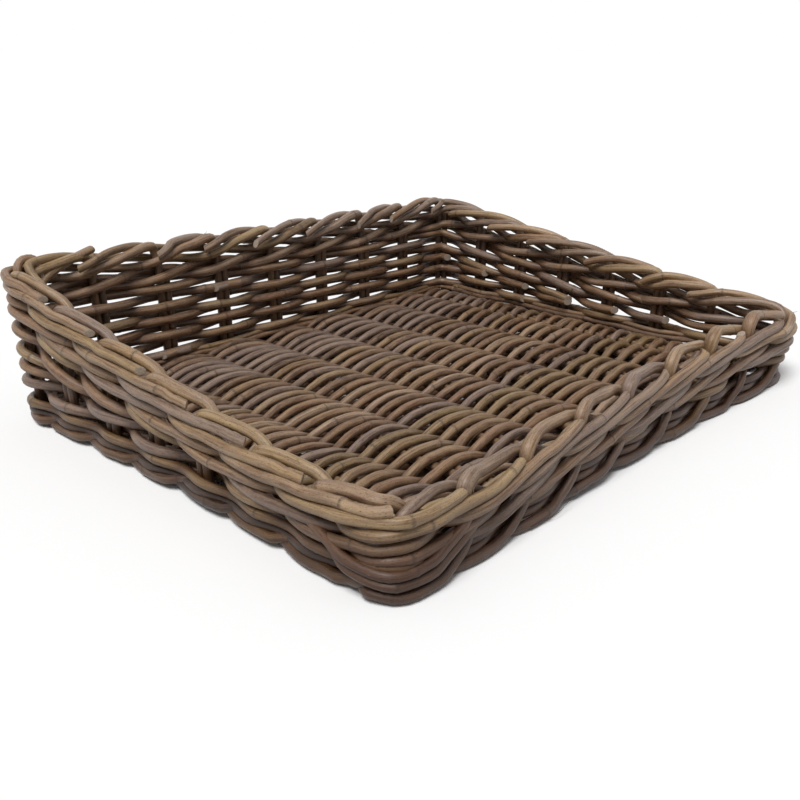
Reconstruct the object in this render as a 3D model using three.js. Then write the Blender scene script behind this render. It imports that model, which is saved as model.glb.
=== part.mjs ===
// A sloped countertop basket of woven rattan: low at the front, high at the back, open on top.
// Millimetres. +X runs along the front from left to right, +Y towards the back, +Z up.
// The origin is on the ground under the middle of the rim.
import * as THREE from 'three';

// Plan of the walls: the middle surface of their weave, at the ground.
const wallHalfWidth = 239;
const wallHalfDepth = 187.5;
const cornerRadius = 12;
const wallLeanShare = 0.03; // outward travel as a share of the height

// Heights of the middle of the rolled border.
const frontRimHeight = 52;
const backRimHeight = 108.5;
// The left rim hangs below the even fall of the right one, most of all before its middle.
const leftDipShare = 0.21; // of the fall from the back to the front
const leftDipSkew = 0.7;

// The stakes, each a pair of rods side by side. One stands in every corner.
const spansAcross = 8; // from corner to corner along the front and the back
const spansAlong = 7; // and along each side
const stakeRodRadius = 3.2;
const stakeBendRadius = 6;

// The base: weavers that run back and forth across the sticks.
const baseHeight = 13.6; // of the sticks' middle
const baseRodRadius = 2.7;
const baseRowPitch = 6.25;
const rowsPerBaseWeaver = 8;

// The walls' rows. How thick their cane is follows from the room that the heights leave.
const footRows = 3;
const rimRows = 2; // the rows that follow the slope under the border
// The rows between them that end on the sides, from the lowest: each ends inside a stake, counted
// from the back corner, where the slope leaves no room for it.
const rowEndsRight = [3, 2, 1, 0, 3, 4, 5, 6];
const rowEndsLeft = [3, 0, 1, 0, 1, 2, 3, 4];
const wallRows = rowEndsRight.length + 1;
const wallRodShare = 0.443; // a rod's radius, as a share of the pitch of its rows
const footRodShare = 0.486;
const footPitchShare = 1.03; // of the pitch of the walls' rows
const cutEnd = 12; // how far a cut end reaches past its last stake

// The rolled border: every stake ends as a rod that winds round the border's middle line.
const borderRodRadius = 3.3;
const borderCoilRadius = 6.7;
const borderStakesPassed = 3.8;
const borderStepShare = 0.5; // of the way from one stake to the next
const borderFirstStepShare = 0.14;
const borderTurnPerStake = THREE.MathUtils.degToRad(75);
const borderStartAngle = THREE.MathUtils.degToRad(-100); // zero points outward, 90 degrees up
const borderEntry = 3.4; // the stake's bend into the border

const pressClearance = 0.35; // between rods that press on each other

const weaverSides = 4;
const bendSteps = 3;

// Every row needs its pitch between the ground and the border. At the front only the foot, one row
// and the rim rows pass, at the back all of them, and the tighter of the two sets the pitch.
const footFlatShare = footRodShare * Math.cos(Math.PI / weaverSides);
const footPitches = footPitchShare * (footFlatShare + footRows);

function pitchThatFits(rimMiddle, rowsAboveFirst) {
  const woven = rimMiddle - borderCoilRadius - borderRodRadius - pressClearance;
  return woven / (footPitches + rowsAboveFirst + wallRodShare);
}

const pitchAtFront = pitchThatFits(frontRimHeight, rimRows);
const pitchAtBack = pitchThatFits(backRimHeight, wallRows + rimRows - 1);
const wallRowPitch = Math.min(pitchAtFront, pitchAtBack);
const wallRodRadius = wallRodShare * wallRowPitch;
const footRowPitch = footPitchShare * wallRowPitch;
const footRodRadius = footRodShare * footRowPitch;

// Colours of the weathered cane.
const stakeLook = { color: 0x5a4638, roughness: 0.72, metalness: 0 };
const baseLook = { color: 0x74604f, roughness: 0.66, metalness: 0 };
const wallLook = { color: 0x7d6851, roughness: 0.64, metalness: 0 };
const footLook = { color: 0x6b5340, roughness: 0.7, metalness: 0 };

// The walls in order, anticlockwise seen from above, starting at the front left corner.
const xAxis = new THREE.Vector3(1, 0, 0);
const yAxis = new THREE.Vector3(0, 1, 0);
const up = new THREE.Vector3(0, 0, 1);
const walls = [
  { spans: spansAcross, halfRun: wallHalfWidth, distance: wallHalfDepth, along: xAxis },
  { spans: spansAlong, halfRun: wallHalfDepth, distance: wallHalfWidth, along: yAxis },
  { spans: spansAcross, halfRun: wallHalfWidth, distance: wallHalfDepth, along: xAxis.clone().negate() },
  { spans: spansAlong, halfRun: wallHalfDepth, distance: wallHalfWidth, along: yAxis.clone().negate() },
];
let stakeCount = 0;
for (const wall of walls) {
  wall.first = stakeCount;
  wall.out = new THREE.Vector3().crossVectors(wall.along, up);
  stakeCount += wall.spans;
}
const backRight = walls[2].first;
const backLeft = walls[3].first;

function wallOf(stake) {
  const place = THREE.MathUtils.euclideanModulo(stake, stakeCount);
  return walls.findLast((wall) => wall.first <= place);
}

function isCorner(stake) {
  const place = THREE.MathUtils.euclideanModulo(stake, stakeCount);
  return walls.some((wall) => wall.first === place);
}

// How one wall is laid out at a height: the straight part, the pitch of its stakes and the run
// from the last stake before a corner to that corner's stake.
function wallLayout(wall, height) {
  const lean = wallLeanShare * height;
  const straightHalf = wall.halfRun + lean - cornerRadius;
  const pitch = (straightHalf + cornerRadius * Math.SQRT1_2) / (wall.spans / 2);
  const lastStake = (wall.spans / 2 - 1) * pitch;
  const straightRest = straightHalf - lastStake;
  const arc = cornerRadius * Math.PI / 4;
  return { straightHalf, pitch, lastStake, straightRest, arc, distance: wall.distance + lean };
}

// A point on the walls' middle surface, at a place counted in stakes, with its outward direction.
function wallPoint(stake, height) {
  const wall = wallOf(stake);
  const { straightHalf, pitch, lastStake, straightRest, arc, distance } = wallLayout(wall, height);
  const fromMiddle = THREE.MathUtils.euclideanModulo(stake, stakeCount) - wall.first - wall.spans / 2;
  const stakesOut = Math.abs(fromMiddle);
  const pastLast = Math.max(stakesOut - (wall.spans / 2 - 1), 0) * (straightRest + arc);
  const turn = Math.max(pastLast - straightRest, 0) / cornerRadius;
  const straight = Math.min(stakesOut * pitch, lastStake) + Math.min(pastLast, straightRest);
  const alongPlace = Math.sign(fromMiddle) * (straight + cornerRadius * Math.sin(turn));
  const outPlace = distance - cornerRadius * (1 - Math.cos(turn));
  const point = new THREE.Vector3(0, 0, height);
  point.addScaledVector(wall.along, alongPlace).addScaledVector(wall.out, outPlace);
  const out = wall.out.clone().multiplyScalar(Math.cos(turn));
  out.addScaledVector(wall.along, Math.sign(fromMiddle) * Math.sin(turn));
  return { point, out };
}

// The border's middle line falls from the back corners to the front ones.
const cornerDepth = wallPoint(backRight, 0).point.y;

function rimHeight(stake) {
  const depth = wallPoint(stake, 0).point.y;
  const share = THREE.MathUtils.clamp((depth / cornerDepth + 1) / 2, 0, 1);
  const isLeft = THREE.MathUtils.euclideanModulo(stake, stakeCount) > backLeft;
  const dip = isLeft ? leftDipShare * Math.sin(Math.PI * share ** leftDipSkew) : 0;
  return frontRimHeight + (backRimHeight - frontRimHeight) * (share - dip);
}

// How far a rod's middle stays from the middle of what it passes, and how far out a zigzag rod
// turns so that it still passes that far from both rods of a stake.
function passGap(rodRadius) {
  return stakeRodRadius + rodRadius + pressClearance;
}

function passReach(rodRadius, pitch) {
  const gap = passGap(rodRadius);
  return gap / Math.sqrt((1 - 2 * stakeRodRadius / pitch) ** 2 - (2 * gap / pitch) ** 2);
}

const groundLayouts = walls.map((wall) => wallLayout(wall, 0));
const closestPitch = Math.min(...groundLayouts.map((layout) => layout.pitch));
const wallReach = passReach(wallRodRadius, closestPitch);

// Sections, as points across and outward. A stake's two rods share one outline with a waist.
function rodSection(radius, sides) {
  const points = [];
  for (let i = 0; i < sides; i++) {
    const angle = (2 * Math.PI * i) / sides;
    points.push(new THREE.Vector2(radius * Math.cos(angle), radius * Math.sin(angle)));
  }
  return points;
}

const flatFootSection = rodSection(footRodRadius, weaverSides).map(
  (point) => point.rotateAround(new THREE.Vector2(), Math.PI / weaverSides),
);
const wallSection = rodSection(wallRodRadius, weaverSides);
const baseSection = rodSection(baseRodRadius, weaverSides);
const borderSection = rodSection(borderRodRadius, 8);
const lobeAngles = [0, THREE.MathUtils.degToRad(75)];
const waistShare = 0.3; // of a rod's radius
const pairSection = [];
for (const lobe of [1, -1]) {
  const x = lobe * stakeRodRadius;
  const rise = lobe * stakeRodRadius;
  pairSection.push(new THREE.Vector2(x + lobe * stakeRodRadius * Math.cos(lobeAngles[0]), 0));
  pairSection.push(new THREE.Vector2(x + lobe * stakeRodRadius * Math.cos(lobeAngles[1]), rise));
  pairSection.push(new THREE.Vector2(0, rise * waistShare));
  pairSection.push(new THREE.Vector2(-x - lobe * stakeRodRadius * Math.cos(lobeAngles[1]), rise));
}

// A rod through a list of stations, each with a point and a section, as one closed body. Its
// section is carried along without twisting from the station that start names, or kept level.
const sharpestMiter = 1.3;

function directionAt(points, i, closed) {
  const last = points.length - 1;
  const before = points[closed ? (i + last) % points.length : Math.max(i - 1, 0)];
  const after = points[closed ? (i + 1) % points.length : Math.min(i + 1, last)];
  const arriving = new THREE.Vector3().subVectors(points[i], before).normalize();
  const leaving = new THREE.Vector3().subVectors(after, points[i]).normalize();
  const direction = new THREE.Vector3().addVectors(arriving, leaving).normalize();
  const bend = new THREE.Vector3().subVectors(leaving, arriving);
  const bendSize = arriving.lengthSq() * leaving.lengthSq() > 0 ? bend.length() / 2 : 0;
  const stretch = Math.min(1 / Math.sqrt(Math.max(1 - bendSize ** 2, 1 / sharpestMiter ** 2)), sharpestMiter);
  return { direction, bend: bend.normalize(), stretch: bendSize > 0 ? stretch : 1 };
}

function sweepRod(stations, { closed = false, level = false, start = 0, startSide = yAxis } = {}) {
  const points = stations.map((station) => station.point);
  const turns = points.map((point, i) => directionAt(points, i, closed));
  const sides = [];
  if (level) {
    for (const { direction } of turns) {
      sides.push(new THREE.Vector3().crossVectors(direction, up).normalize());
    }
  } else {
    const carry = new THREE.Quaternion();
    const first = turns[start].direction;
    sides[start] = startSide.clone().addScaledVector(first, -startSide.dot(first)).normalize();
    for (let i = start + 1; i < points.length; i++) {
      carry.setFromUnitVectors(turns[i - 1].direction, turns[i].direction);
      sides[i] = sides[i - 1].clone().applyQuaternion(carry);
    }
    for (let i = start - 1; i >= 0; i--) {
      carry.setFromUnitVectors(turns[i + 1].direction, turns[i].direction);
      sides[i] = sides[i + 1].clone().applyQuaternion(carry);
    }
  }

  const positions = [];
  const corner = new THREE.Vector3();
  stations.forEach(({ point, section }, i) => {
    const { direction, bend, stretch } = turns[i];
    const face = new THREE.Vector3().crossVectors(direction, sides[i]);
    for (const { x, y } of section) {
      corner.set(0, 0, 0).addScaledVector(sides[i], x).addScaledVector(face, y);
      corner.addScaledVector(bend, corner.dot(bend) * (stretch - 1));
      corner.add(point);
      positions.push(corner.x, corner.y, corner.z);
    }
  });

  const count = stations[0].section.length;
  const index = [];
  const runs = closed ? stations.length : stations.length - 1;
  for (let i = 0; i < runs; i++) {
    const here = i * count;
    const next = ((i + 1) % stations.length) * count;
    for (let j = 0; j < count; j++) {
      const k = (j + 1) % count;
      index.push(here + j, here + k, next + k);
      index.push(here + j, next + k, next + j);
    }
  }
  if (!closed) {
    const end = (stations.length - 1) * count;
    for (let j = 1; j < count - 1; j++) {
      index.push(0, j + 1, j);
      index.push(end, end + j, end + j + 1);
    }
  }
  const geometry = new THREE.BufferGeometry();
  geometry.setAttribute('position', new THREE.Float32BufferAttribute(positions, 3));
  geometry.setIndex(index);
  geometry.computeVertexNormals();
  return geometry;
}

const basket = new THREE.Group();

function addPiece(name, geometry, look) {
  const mesh = new THREE.Mesh(geometry, new THREE.MeshStandardMaterial(look));
  mesh.name = name;
  basket.add(mesh);
}

// A point at an offset outward from the walls' middle surface.
function offsetPoint(stake, height, offset) {
  const { point, out } = wallPoint(stake, height);
  return point.addScaledVector(out, offset);
}

// Where the straight wall meets a corner's arc, in stakes before or after the corner's stake.
function shoulderOf(corner, direction, height) {
  const wall = wallOf(corner + direction / 2);
  const { straightRest, arc, pitch } = wallLayout(wall, height);
  const place = corner + direction * arc / (straightRest + arc);
  return { place, runShare: 2 * straightRest / pitch - 1 };
}

// The stations where a wall rod passes one stake: one on a straight wall, three at a corner.
function passStations(stake, heightAt, side, reach, radius) {
  const height = heightAt(stake);
  if (!isCorner(stake)) {
    return [offsetPoint(stake, height, side * reach)];
  }
  const gap = passGap(radius);
  const cornerReach = side > 0 ? stakeRodRadius + Math.SQRT2 * gap : gap;
  const before = shoulderOf(stake, -1, height);
  const after = shoulderOf(stake, 1, height);
  return [
    offsetPoint(before.place, heightAt(before.place), side * reach * before.runShare),
    offsetPoint(stake, height, side * cornerReach),
    offsetPoint(after.place, heightAt(after.place), side * reach * after.runShare),
  ];
}

function passSide(stake, row) {
  return (stake + row) % 2 === 0 ? 1 : -1;
}

// A closed row all round, over and under the stakes by turns.
function addRing(name, heightAt, row) {
  const stations = [];
  for (let stake = 0; stake < stakeCount; stake++) {
    for (const point of passStations(stake, heightAt, passSide(stake, row), wallReach, wallRodRadius)) {
      stations.push({ point, section: wallSection });
    }
  }
  addPiece(name, sweepRod(stations, { closed: true, level: true }), wallLook);
}

// The foot: rods that lie outside every stake, the lowest one flat where it stands.
const footFlat = footRodRadius * Math.cos(Math.PI / weaverSides);
const footReach = passGap(footFlat);

function addFootRing(name, height) {
  const stations = [];
  for (let stake = 0; stake < stakeCount; stake++) {
    if (isCorner(stake)) {
      const before = shoulderOf(stake, -1, height).place;
      const after = shoulderOf(stake, 1, height).place;
      const cornerReach = stakeRodRadius + Math.SQRT2 * footReach;
      stations.push({ point: offsetPoint(before, height, footReach), section: flatFootSection });
      stations.push({ point: offsetPoint(stake, height, cornerReach), section: flatFootSection });
      stations.push({ point: offsetPoint(after, height, footReach), section: flatFootSection });
    } else {
      stations.push({ point: offsetPoint(stake, height, footReach), section: flatFootSection });
    }
  }
  addPiece(name, sweepRod(stations, { closed: true, level: true }), footLook);
}

for (let row = 0; row < footRows; row++) {
  addFootRing(`foot_wale_${row + 1}`, footFlat + row * footRowPitch);
}

// Rows of the walls. The first goes all round. The next ones go round the back and end one after
// another on the sides, and the rows above sink into the place of those that ended.
const firstRowHeight = footFlat + footRows * footRowPitch;
const rimRowDrop = borderCoilRadius + borderRodRadius + wallRodRadius + pressClearance;

function rimRowHeight(stake, row) {
  return rimHeight(stake) - rimRowDrop - row * wallRowPitch;
}

addRing('wall_weaver_1', () => firstRowHeight, 0);

// The rows that pass a stake share out the room between the first row and the rim rows.
function sharedHeight(stake, row) {
  const sideStakes = Math.max(backRight - stake, stake - backLeft, 0);
  const rowEnds = stake > backLeft ? rowEndsLeft : rowEndsRight;
  const passing = rowEnds.filter((end) => end >= sideStakes).length;
  const below = rowEnds.slice(0, row - 1).filter((end) => end >= sideStakes).length;
  const room = rimRowHeight(stake, rimRows - 1) - firstRowHeight;
  return firstRowHeight + room * ((below + 1) / (passing + 1));
}

rowEndsRight.forEach((endRight, i) => {
  const row = i + 1;
  const from = backRight - endRight;
  const to = backLeft + rowEndsLeft[i];
  const heightAt = (place) => {
    const before = Math.floor(place);
    return THREE.MathUtils.lerp(sharedHeight(before, row), sharedHeight(before + 1, row), place - before);
  };
  const points = [];
  for (let stake = from; stake <= to; stake++) {
    points.push(...passStations(stake, heightAt, passSide(stake, row), wallReach, wallRodRadius));
  }
  const endShare = cutEnd / closestPitch;
  if (from < backRight) {
    points.unshift(offsetPoint(from - endShare, heightAt(from), -wallReach));
  }
  if (to > backLeft) {
    points.push(offsetPoint(to + endShare, heightAt(to), -wallReach));
  }
  const stations = points.map((point) => ({ point, section: wallSection }));
  addPiece(`wall_weaver_${row + 1}`, sweepRod(stations, { level: true }), wallLook);
});

for (let row = 0; row < rimRows; row++) {
  addRing(`rim_wale_${row + 1}`, (stake) => rimRowHeight(stake, row), row);
}

// The border end of a stake, from below the border to its cut end inside, one point after another.
function borderPoint(stake, passed) {
  const angle = borderStartAngle + passed * borderTurnPerStake;
  const place = stake + passed;
  const { point, out } = wallPoint(place, rimHeight(place));
  point.addScaledVector(out, borderCoilRadius * Math.cos(angle));
  return point.addScaledVector(up, borderCoilRadius * Math.sin(angle));
}

// Every border rod turns at the same places, so that neighbours keep their distance: at each stake,
// halfway between stakes, and on both sides of a corner.
function borderSteps(stake) {
  const steps = isCorner(stake) ? [] : [borderFirstStepShare];
  for (let passed = 0; passed < borderStakesPassed; passed += borderStepShare) {
    if (passed > 0) {
      steps.push(passed);
    }
    for (const direction of [-1, 1]) {
      const corner = Math.round(stake + passed);
      const shoulder = shoulderOf(corner, direction, rimHeight(corner)).place - stake;
      if (isCorner(corner) && corner === stake + passed && shoulder > 0) {
        steps.push(shoulder);
      }
    }
  }
  steps.push(borderStakesPassed);
  return steps.filter((passed) => passed <= borderStakesPassed).sort((a, b) => a - b);
}

function stakeTop(stake) {
  const entry = borderPoint(stake, 0).addScaledVector(up, -borderEntry);
  const below = rimRowHeight(stake, 0);
  const stations = [{ point: wallPoint(stake, below).point, section: pairSection }];
  stations.push({ point: entry, section: borderSection });
  for (const passed of borderSteps(stake)) {
    stations.push({ point: borderPoint(stake, passed), section: borderSection });
  }
  return stations;
}

// The stakes of the sides and corners are pushed down behind the foot.
function addPost(name, stake) {
  const foot = { point: wallPoint(stake, pressClearance).point, section: pairSection };
  const startSide = new THREE.Vector3().crossVectors(up, wallPoint(stake, 0).out);
  addPiece(name, sweepRod([foot, ...stakeTop(stake)], { startSide }), stakeLook);
}

walls.forEach((wall, i) => addPost(`corner_stake_${i + 1}`, wall.first));
for (const [side, wall] of [['right', walls[1]], ['left', walls[3]]]) {
  for (let i = 1; i < spansAlong; i++) {
    addPost(`side_stake_${side}_${i}`, wall.first + i);
  }
}

// The long stakes are sticks of the base too: up the front, across the base and up the back.
for (let i = 1; i < spansAcross; i++) {
  const halves = [i, backLeft - i].map((stake) => {
    const foot = wallPoint(stake, baseHeight + stakeBendRadius);
    const bend = [];
    for (let step = 0; step <= bendSteps; step++) {
      const angle = (Math.PI / 2) * (step / bendSteps);
      const point = foot.point.clone().addScaledVector(foot.out, -stakeBendRadius * (1 - Math.sin(angle)));
      bend.push({ point: point.addScaledVector(up, -stakeBendRadius * Math.cos(angle)), section: pairSection });
    }
    return [...bend, ...stakeTop(stake)];
  });
  const [front, back] = halves;
  const stations = [...front.reverse(), ...back];
  addPiece(`long_stake_${i}`, sweepRod(stations, { start: front.length, startSide: xAxis }), stakeLook);
}

// The outermost sticks belong to the base alone. They keep off the side walls by the turn of a
// weaver, and their ends lie against the front and back walls.
const wallInset = wallReach + wallRodRadius + pressClearance;
const innerStick = wallPoint(spansAcross - 1, 0).point.x;
const turnOverEdge = 2 * stakeRodRadius + passGap(baseRodRadius) + stakeRodRadius / 2;
const edgeStick = wallHalfWidth - wallInset - turnOverEdge - baseRodRadius * sharpestMiter;
const baseReach = passReach(baseRodRadius, Math.min(closestPitch, edgeStick - innerStick));
const edgeReach = baseReach + stakeRodRadius / 2;
for (const [side, x] of [['left', -edgeStick], ['right', edgeStick]]) {
  const stations = [-1, 1].map((end) => {
    const y = end * (wallHalfDepth - wallInset);
    return { point: new THREE.Vector3(x, y, baseHeight), section: pairSection };
  });
  addPiece(`edge_stick_${side}`, sweepRod(stations, { startSide: xAxis }), stakeLook);
}

function stickPlace(i) {
  return THREE.MathUtils.clamp(wallPoint(i, 0).point.x, -edgeStick, edgeStick);
}

// The base's weavers.
const rowsHalf = wallHalfDepth - wallInset - baseRodRadius;
const baseRows = Math.floor((2 * rowsHalf) / baseRowPitch) + 1;

function baseStations(firstRow, rows) {
  const points = [];
  for (let row = firstRow; row < firstRow + rows; row++) {
    const y = (row - (baseRows - 1) / 2) * baseRowPitch;
    const towards = row % 2 === 0 ? 1 : -1;
    for (let i = 0; i <= spansAcross; i++) {
      const stick = towards > 0 ? i : spansAcross - i;
      const overOrUnder = (stick + row) % 2 === 0 ? 1 : -1;
      const outer = stick === 0 || stick === spansAcross;
      const outward = Math.sign(stickPlace(stick));
      const shift = outer ? outward * stakeRodRadius : 0;
      const rise = overOrUnder * (outer ? edgeReach : baseReach);
      points.push(new THREE.Vector3(stickPlace(stick) + shift, y, baseHeight + rise));
    }
    if (row < firstRow + rows - 1) {
      const x = towards * (edgeStick + turnOverEdge);
      points.push(new THREE.Vector3(x, y + baseRowPitch / 2, baseHeight));
    }
  }
  return points.map((point) => ({ point, section: baseSection }));
}

for (let row = 0, count = 1; row < baseRows; row += rowsPerBaseWeaver, count++) {
  const rows = Math.min(rowsPerBaseWeaver, baseRows - row);
  addPiece(`base_weaver_${count}`, sweepRod(baseStations(row, rows)), baseLook);
}

// The lean carries the high back rim further out than the front one, so the foot stands a little
// in front of the origin.
basket.position.y = -wallLeanShare * (backRimHeight - frontRimHeight) / 2;

export default basket;
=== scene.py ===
"""The looks of a sloped countertop basket: rods of weathered rattan woven round pairs of stakes."""

import math

import bpy
import numpy as np
from mathutils import Matrix, Vector


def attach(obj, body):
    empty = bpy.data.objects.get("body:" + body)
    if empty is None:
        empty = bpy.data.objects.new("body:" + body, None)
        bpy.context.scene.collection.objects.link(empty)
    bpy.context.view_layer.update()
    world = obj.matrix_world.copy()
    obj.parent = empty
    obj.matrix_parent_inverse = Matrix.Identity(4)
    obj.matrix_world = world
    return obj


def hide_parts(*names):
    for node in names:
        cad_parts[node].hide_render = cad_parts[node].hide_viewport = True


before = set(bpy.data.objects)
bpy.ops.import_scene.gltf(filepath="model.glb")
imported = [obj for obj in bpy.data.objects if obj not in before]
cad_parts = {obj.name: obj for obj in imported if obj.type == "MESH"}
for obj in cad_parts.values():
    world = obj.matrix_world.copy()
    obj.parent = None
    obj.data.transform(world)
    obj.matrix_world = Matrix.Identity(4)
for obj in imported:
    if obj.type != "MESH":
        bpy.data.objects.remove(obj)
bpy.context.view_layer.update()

# Lengths are in millimetres, from the middle between the walls. SHIFT_Y is where that middle lies in
# the shared frame.
MM = 0.001
SHIFT_Y = -0.8475

# The walls' middle surface: its plan at the ground, its lean and its stakes. A place round the basket
# is counted in stakes, from the front left corner along the front.
HALF_WIDTH = 239.0
HALF_DEPTH = 187.5
CORNER_RADIUS = 12.0
LEAN = 0.03
SPANS_ACROSS = 8
SPANS_ALONG = 7
STAKES = 2 * (SPANS_ACROSS + SPANS_ALONG)
BACK_RIGHT = SPANS_ACROSS + SPANS_ALONG
BACK_LEFT = BACK_RIGHT + SPANS_ACROSS

# One wall each: its first stake, its spans, half its run, its distance from the middle and its way.
WALLS = [
    (0, SPANS_ACROSS, HALF_WIDTH, HALF_DEPTH, (1, 0)),
    (SPANS_ACROSS, SPANS_ALONG, HALF_DEPTH, HALF_WIDTH, (0, 1)),
    (BACK_RIGHT, SPANS_ACROSS, HALF_WIDTH, HALF_DEPTH, (-1, 0)),
    (BACK_LEFT, SPANS_ALONG, HALF_DEPTH, HALF_WIDTH, (0, -1)),
]

# The middle line of the border. The left one hangs lower, most of all before its middle, and the
# front one rises a little to the right.
FRONT_RIM = 51.0
BACK_RIM = 106.4
FRONT_TILT = 2.0
LEFT_DIP = 0.25
LEFT_DIP_SKEW = 0.7

# Irregularities: the place, the reach to each side and how far it goes. First, where the border stands
# higher or sags. The first CORNER_SAGS of them draw the rows below down too.
SAGS = [
    (1.2, 0.9, -10.5),
    (2.6, 1.2, -3.5),
    (4.2, 1.2, -3.0),
    (11.5, 2.5, -1.5),
    (22.0, 2.2, 3.5),
    (23.2, 0.8, 2.0),
]
CORNER_SAGS = 3
# Where the walls swell out or draw in.
SWELLS = [
    (0.0, 1.3, 1.5),
    (4.3, 2.0, -2.5),
    (8.0, 1.6, 6.0),
    (15.0, 1.0, 1.0),
    (23.0, 1.2, 3.7),
    (26.5, 1.6, -1.5),
]
# Where the walls lean out more, and the heights between which they come to do so.
LEANS = [(8.0, 0.6, 6.5)]
LEAN_START = 10.0
LEAN_FULL = 50.0
# Where the foot stands higher off the ground or lower.
LIFTS = [
    (0.75, 0.4, -2.5),
    (3.1, 0.7, 3.5),
    (5.0, 1.6, 1.5),
    (6.2, 0.5, -1.5),
    (11.5, 1.8, 2.0),
    (19.0, 2.2, 2.0),
    (25.8, 0.6, -1.5),
    (26.4, 2.4, 2.2),
    (29.9, 0.12, 1.5),
]

# The radii of the rods, and how far a pair's rods lie from the middle of their stake.
STAKE_RADIUS = 3.3
WALL_RADIUS = 3.85
RIM_RADIUS = 3.75
FOOT_RADIUS = 3.3
BASE_RADIUS = 3.35
THIN_RADIUS = 2.3
BORDER_RADIUS = 3.75
PAIR_HALF = STAKE_RADIUS + 0.05

# The heights of the rods' middle lines.
FIRST_ROW = 24.3
FRONT_DROP = 2.2
ROW_PITCH = 7.0
RIM_DROP = 13.6
BASE_HEIGHT = 13.2
STAKE_FOOT = 1.5
# How far below the border's middle line a stake's upright ends and its border rod takes over.
BORDER_START = 17

rng = np.random.default_rng(11)


def smoothstep(low, high, x):
    t = np.clip((x - low) / (high - low), 0.0, 1.0)
    return t * t * (3 - 2 * t)


def bumps(place, table):
    total = np.zeros_like(place)
    for middle, reach, size in table:
        away = (place - middle + STAKES / 2) % STAKES - STAKES / 2
        total = total + size * np.exp(-(away / reach) ** 2)
    return total


def wall_frame(place, height):
    """Points on the walls' middle surface and their outward directions, at places counted in stakes."""
    place, height = np.broadcast_arrays(np.asarray(place, float) % STAKES, np.asarray(height, float))
    swell = bumps(place, SWELLS) + bumps(place, LEANS) * smoothstep(LEAN_START, LEAN_FULL, height)
    point = np.zeros(place.shape + (3,))
    out = np.zeros_like(point)
    for first, spans, half_run, distance, along in WALLS:
        here = (place >= first) & (place < first + spans)
        lean = LEAN * height[here]
        straight = half_run + lean - CORNER_RADIUS
        pitch = (straight + CORNER_RADIUS * math.sqrt(0.5)) / (spans / 2)
        last = (spans / 2 - 1) * pitch
        rest = straight - last
        arc = CORNER_RADIUS * math.pi / 4
        middle = place[here] - first - spans / 2
        stakes_out = np.abs(middle)
        past = np.maximum(stakes_out - (spans / 2 - 1), 0) * (rest + arc)
        turn = np.maximum(past - rest, 0) / CORNER_RADIUS
        run = np.minimum(stakes_out * pitch, last) + np.minimum(past, rest)
        run = np.sign(middle) * (run + CORNER_RADIUS * np.sin(turn))
        reach = distance + lean - CORNER_RADIUS * (1 - np.cos(turn))
        side = np.array(along, float)
        outward = np.array([side[1], -side[0]])
        out[here, :2] = np.cos(turn)[:, None] * outward + (np.sign(middle) * np.sin(turn))[:, None] * side
        point[here, :2] = run[:, None] * side + reach[:, None] * outward + swell[here, None] * out[here, :2]
    point[..., 2] = height
    return point, out


CORNER_DEPTH = float(wall_frame(BACK_RIGHT, 0.0)[0][1])


def rim_height(place):
    """The height of the border's middle line."""
    plan = wall_frame(place, 0.0)[0]
    share = np.clip((plan[..., 1] / CORNER_DEPTH + 1) / 2, 0, 1)
    left = (np.asarray(place) % STAKES) > BACK_LEFT
    dip = np.where(left, LEFT_DIP * np.sin(math.pi * share ** LEFT_DIP_SKEW), 0.0)
    front = FRONT_RIM + FRONT_TILT * plan[..., 0] / HALF_WIDTH
    return front + (BACK_RIM - front) * (share - dip) + bumps(np.asarray(place, float), SAGS)


def from_wall(place, height, offset):
    point, out = wall_frame(place, height)
    return point + out * np.asarray(offset)[..., None]


def on_rim(path):
    """Points at places in stakes, offsets outward and heights from the border's middle line."""
    path = np.array(path)
    return from_wall(path[:, 0], rim_height(path[:, 0]) + path[:, 2], path[:, 1])


def on_wall(path):
    """Points at places in stakes, offsets outward and heights from the ground."""
    path = np.array(path)
    return from_wall(path[:, 0], path[:, 2], path[:, 1])


def stake_side(stake):
    """The direction along the wall at a stake."""
    _, out = wall_frame(float(stake), 0.0)
    return np.array([-out[1], out[0], 0.0])


def waver(place, size, waves=(5, 9, 14, 23, 41, 67)):
    """A random wander that closes after one turn round the basket."""
    total = np.zeros_like(np.asarray(place, float))
    for wave in waves:
        phase = rng.uniform(0, 2 * math.pi)
        strength = rng.uniform(0.5, 1.0) / (1 + wave / 30)
        total = total + strength * np.sin(2 * math.pi * wave * place / STAKES + phase)
    return size * total / 1.8


def through(keys, amount):
    """A smooth curve through key points, with that many points per step."""
    keys = np.asarray(keys, float)
    padded = np.concatenate([[2 * keys[0] - keys[1]], keys, [2 * keys[-1] - keys[-2]]])
    pieces = []
    for i in range(1, len(padded) - 2):
        p0, p1, p2, p3 = padded[i - 1:i + 3]
        t = np.linspace(0, 1, amount, endpoint=False)[:, None]
        pieces.append(
            0.5 * (2 * p1 + (p2 - p0) * t + (2 * p0 - 5 * p1 + 4 * p2 - p3) * t ** 2
                   + (3 * p1 - p0 - 3 * p2 + p3) * t ** 3)
        )
    pieces.append(padded[-2:-1])
    return np.concatenate(pieces)


def tone_near(middle, spread=0.16):
    """A random tone between dark, zero, and pale, one."""
    return float(np.clip(rng.normal(middle, spread), 0.02, 0.98))


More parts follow.
